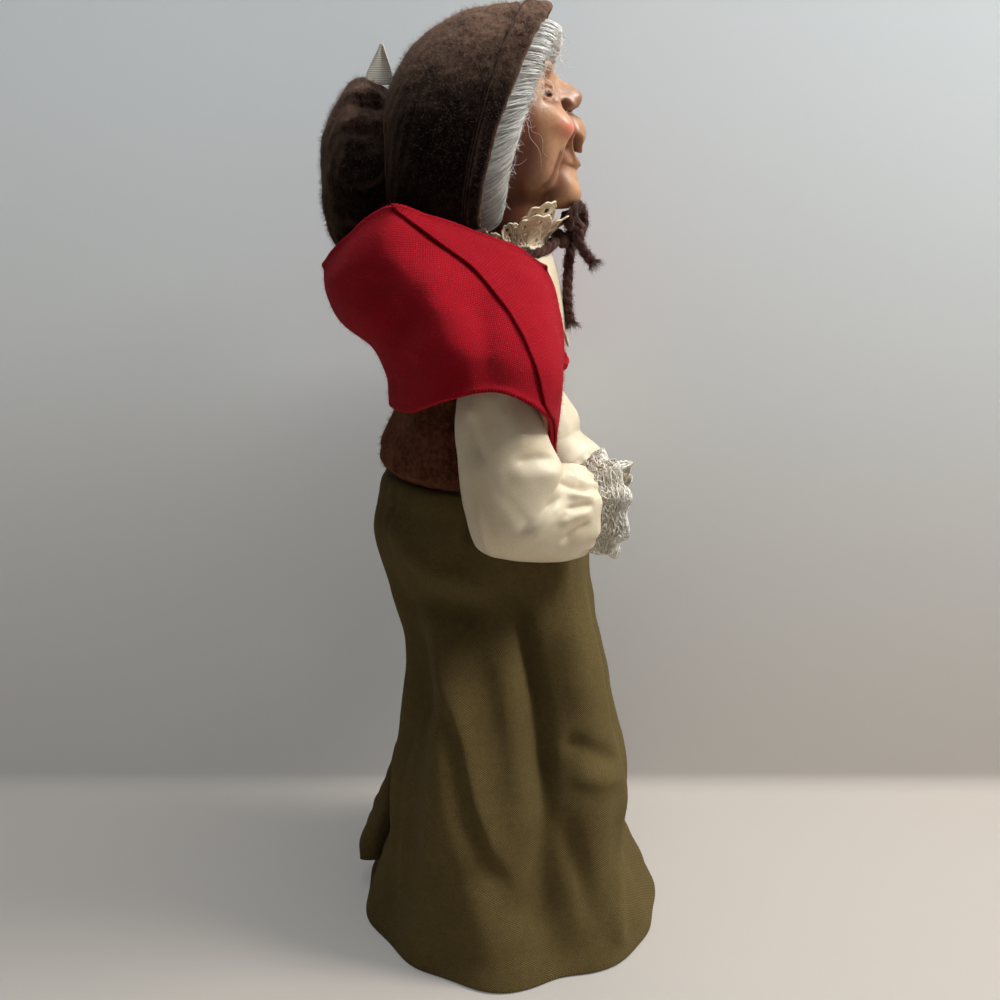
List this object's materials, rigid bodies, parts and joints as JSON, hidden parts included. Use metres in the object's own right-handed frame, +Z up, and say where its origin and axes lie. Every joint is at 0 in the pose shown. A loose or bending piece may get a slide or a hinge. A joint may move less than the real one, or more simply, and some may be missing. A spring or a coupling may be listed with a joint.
{
  "type": "caroler doll",
  "caption": "Standing singing doll in a felt bonnet, knitted shawl, satin blouse and long wool skirt on a flat round base; head, shoulders and elbows bend.",
  "frame": {"origin": "centre of the base disc's underside", "axes": "+Z up; the doll faces -Y; its right side is at -X"},
  "size_m": [0.1282, 0.1241, 0.3311],
  "materials": {
    "base_wood": "plain sanded wood",
    "shoe_leather": "black satin",
    "armature_wire": "drawn wire",
    "wound_paper": "wound crepe paper",
    "olive_wool": "brushed olive wool cloth",
    "bonnet_felt": "fuzzy dark brown felt",
    "vest_felt": "fuzzy brown felt",
    "red_knit": "fine red knit",
    "cream_satin": "glossy cream satin",
    "cream_lace": "open cotton lace",
    "cream_ribbon": "ribbed ribbon",
    "painted_skin": "glossy paint on modelled clay",
    "painted_eye": "gloss",
    "white_hair": "combed white mohair",
    "brown_yarn": "twisted wool yarn"
  },
  "bodies": {
    "figure": {"base_disc": "base_wood", "shoe_right": "shoe_leather", "shoe_left": "shoe_leather", "leg_right": "wound_paper", "leg_left": "wound_paper", "leg_wire_right": "armature_wire", "leg_wire_left": "armature_wire", "body_core": "wound_paper", "spine_wire": "armature_wire", "shoulder_wire": "armature_wire", "blouse_body": "cream_satin", "blouse_front": "cream_satin", "vest": "vest_felt", "skirt_waistband": "olive_wool", "skirt": "olive_wool", "skirt_tail": "olive_wool", "shawl": "red_knit", "neck": "wound_paper", "lace_collar": "cream_lace"},
    "head": {"head": "painted_skin", "eye_right": "painted_eye", "eye_left": "painted_eye", "hair": "white_hair", "bonnet_crown": "bonnet_felt", "bonnet_pouch": "bonnet_felt", "ribbon_tail": "cream_ribbon", "tie_knot": "brown_yarn", "tie_strap_right": "brown_yarn", "tie_strap_left": "brown_yarn", "tie_bow": "brown_yarn", "tie_end": "brown_yarn"},
    "upper_arm_right": {"upper_arm_right": "wound_paper", "sleeve_right": "cream_satin"},
    "upper_arm_left": {"upper_arm_left": "wound_paper", "sleeve_left": "cream_satin"},
    "forearm_right": {"forearm_right": "wound_paper", "hand_right": "painted_skin", "lace_cuff_right": "cream_lace"},
    "forearm_left": {"forearm_left": "wound_paper", "hand_left": "painted_skin", "lace_cuff_left": "cream_lace"}
  },
  "joints": [
    {"name": "head_turn", "type": "hinge", "parent": "figure", "child": "head", "pos_m": [0, 0.002, 0.272], "axis": [0, 0, 1], "range_deg": [-6, 6]},
    {"name": "shoulder_right", "type": "hinge", "parent": "figure", "child": "upper_arm_right", "pos_m": [-0.041, 0.0052, 0.236], "axis": [1, 0, 0], "range_deg": [-15, 2], "deforming": ["shawl", "sleeve_right"]},
    {"name": "shoulder_left", "type": "hinge", "parent": "figure", "child": "upper_arm_left", "pos_m": [0.041, 0.0052, 0.236], "axis": [1, 0, 0], "range_deg": [-15, 0], "deforming": ["shawl", "sleeve_left"]},
    {"name": "elbow_right", "type": "hinge", "parent": "upper_arm_right", "child": "forearm_right", "pos_m": [-0.04689, -0.00619, 0.17618], "axis": [0.8623, 0.4751, -0.1754], "range_deg": [-15, 16], "deforming": ["sleeve_right"]},
    {"name": "elbow_left", "type": "hinge", "parent": "upper_arm_left", "child": "forearm_left", "pos_m": [0.04637, -0.0195, 0.17129], "axis": [0.593, -0.7346, 0.3296], "range_deg": [-15, 16], "deforming": ["sleeve_left"]}
  ]
}
